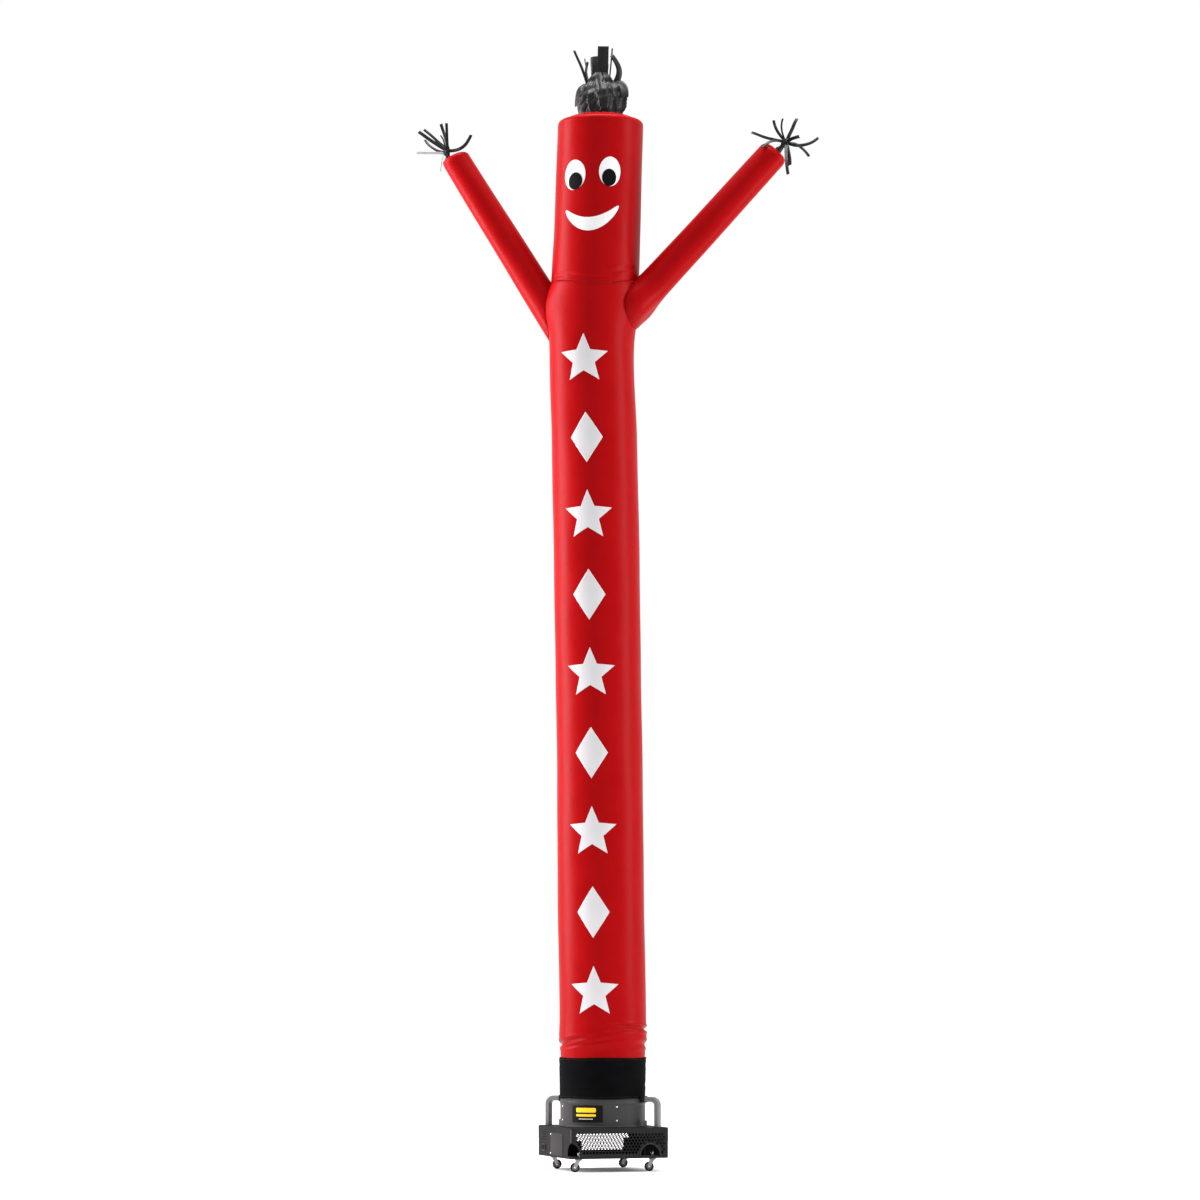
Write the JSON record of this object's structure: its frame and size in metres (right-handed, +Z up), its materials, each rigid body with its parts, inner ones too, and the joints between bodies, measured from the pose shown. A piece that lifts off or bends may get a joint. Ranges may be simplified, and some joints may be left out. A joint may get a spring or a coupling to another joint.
{
  "type": "inflatable air dancer on its square blower",
  "caption": "Tall inflated cloth tube figure with raised arms, streamers and a simple face, cuffed on a square duct blower with swivel casters.",
  "frame": {"origin": "on the floor, under the middle of the whole object's box; the blower's axis stands 84.5 mm towards -X of it", "axes": "+Z up the body, -Y the way the face looks, +X towards the dancer's left arm, which is the one at the picture's right"},
  "size_m": [2.2121, 0.7376, 6.0226],
  "materials": {
    "red_ripstop": "satin",
    "white_cloth": "satin",
    "black_cloth": "satin",
    "cuff_cloth": "matt",
    "grey_enamel": "semi-gloss",
    "dark_enamel": "semi-gloss",
    "handle_enamel": "semi-gloss",
    "black_plastic": "matt",
    "zinc": "bright",
    "wheel_rubber": "matt"
  },
  "bodies": {
    "root": {"body": "red_ripstop", "head": "red_ripstop", "arm_left": "red_ripstop", "arm_right": "red_ripstop", "hair": "black_cloth", "hand_left": "black_cloth", "hand_right": "black_cloth", "eye_left": "white_cloth", "eye_right": "white_cloth", "pupil_left": "black_cloth", "pupil_right": "black_cloth", "smile": "white_cloth", "motif_1": "white_cloth", "motif_2": "white_cloth", "motif_3": "white_cloth", "motif_4": "white_cloth", "motif_5": "white_cloth", "motif_6": "white_cloth", "motif_7": "white_cloth", "motif_8": "white_cloth", "motif_9": "white_cloth", "cuff": "cuff_cloth", "cuff_flap": "cuff_cloth", "blower_case": "dark_enamel", "blower_ring": "grey_enamel", "label_plate": "black_plastic", "cover_plate": "grey_enamel", "socket_block": "black_plastic", "handle_1": "handle_enamel", "handle_2": "handle_enamel", "handle_clamp_1": "black_plastic", "handle_clamp_2": "black_plastic", "ring_lug_1": "handle_enamel", "ring_lug_2": "handle_enamel", "caster_nut_front_left": "zinc", "caster_nut_front_right": "zinc", "caster_nut_back_right": "zinc", "caster_nut_back_left": "zinc"},
    "fork_front_left": {"caster_fork_front_left": "zinc"},
    "fork_front_right": {"caster_fork_front_right": "zinc"},
    "fork_back_right": {"caster_fork_back_right": "zinc"},
    "fork_back_left": {"caster_fork_back_left": "zinc"},
    "wheel_front_left": {"caster_wheel_front_left": "wheel_rubber"},
    "wheel_front_right": {"caster_wheel_front_right": "wheel_rubber"},
    "wheel_back_right": {"caster_wheel_back_right": "wheel_rubber"},
    "wheel_back_left": {"caster_wheel_back_left": "wheel_rubber"}
  },
  "joints": [
    {"name": "swivel_front_left", "type": "hinge", "parent": "root", "child": "fork_front_left", "pos_m": [-0.15954, -0.28003, 0.066], "axis": [0, 0, 1], "continuous": true},
    {"name": "swivel_front_right", "type": "hinge", "parent": "root", "child": "fork_front_right", "pos_m": [0.19553, -0.07504, 0.066], "axis": [0, 0, 1], "continuous": true},
    {"name": "swivel_back_right", "type": "hinge", "parent": "root", "child": "fork_back_right", "pos_m": [-0.00946, 0.28003, 0.066], "axis": [0, 0, 1], "continuous": true},
    {"name": "swivel_back_left", "type": "hinge", "parent": "root", "child": "fork_back_left", "pos_m": [-0.36453, 0.07504, 0.066], "axis": [0, 0, 1], "continuous": true},
    {"name": "roll_front_left", "type": "hinge", "parent": "fork_front_left", "child": "wheel_front_left", "pos_m": [-0.17721, -0.28347, 0.025], "axis": [0.1908, -0.9816, 0], "continuous": true},
    {"name": "roll_front_right", "type": "hinge", "parent": "fork_front_right", "child": "wheel_front_right", "pos_m": [0.17787, -0.07847, 0.025], "axis": [0.1908, -0.9816, 0], "continuous": true},
    {"name": "roll_back_right", "type": "hinge", "parent": "fork_back_right", "child": "wheel_back_right", "pos_m": [-0.02713, 0.2766, 0.025], "axis": [0.1908, -0.9816, 0], "continuous": true},
    {"name": "roll_back_left", "type": "hinge", "parent": "fork_back_left", "child": "wheel_back_left", "pos_m": [-0.34687, 0.07847, 0.025], "axis": [0.1908, -0.9816, 0], "continuous": true}
  ]
}
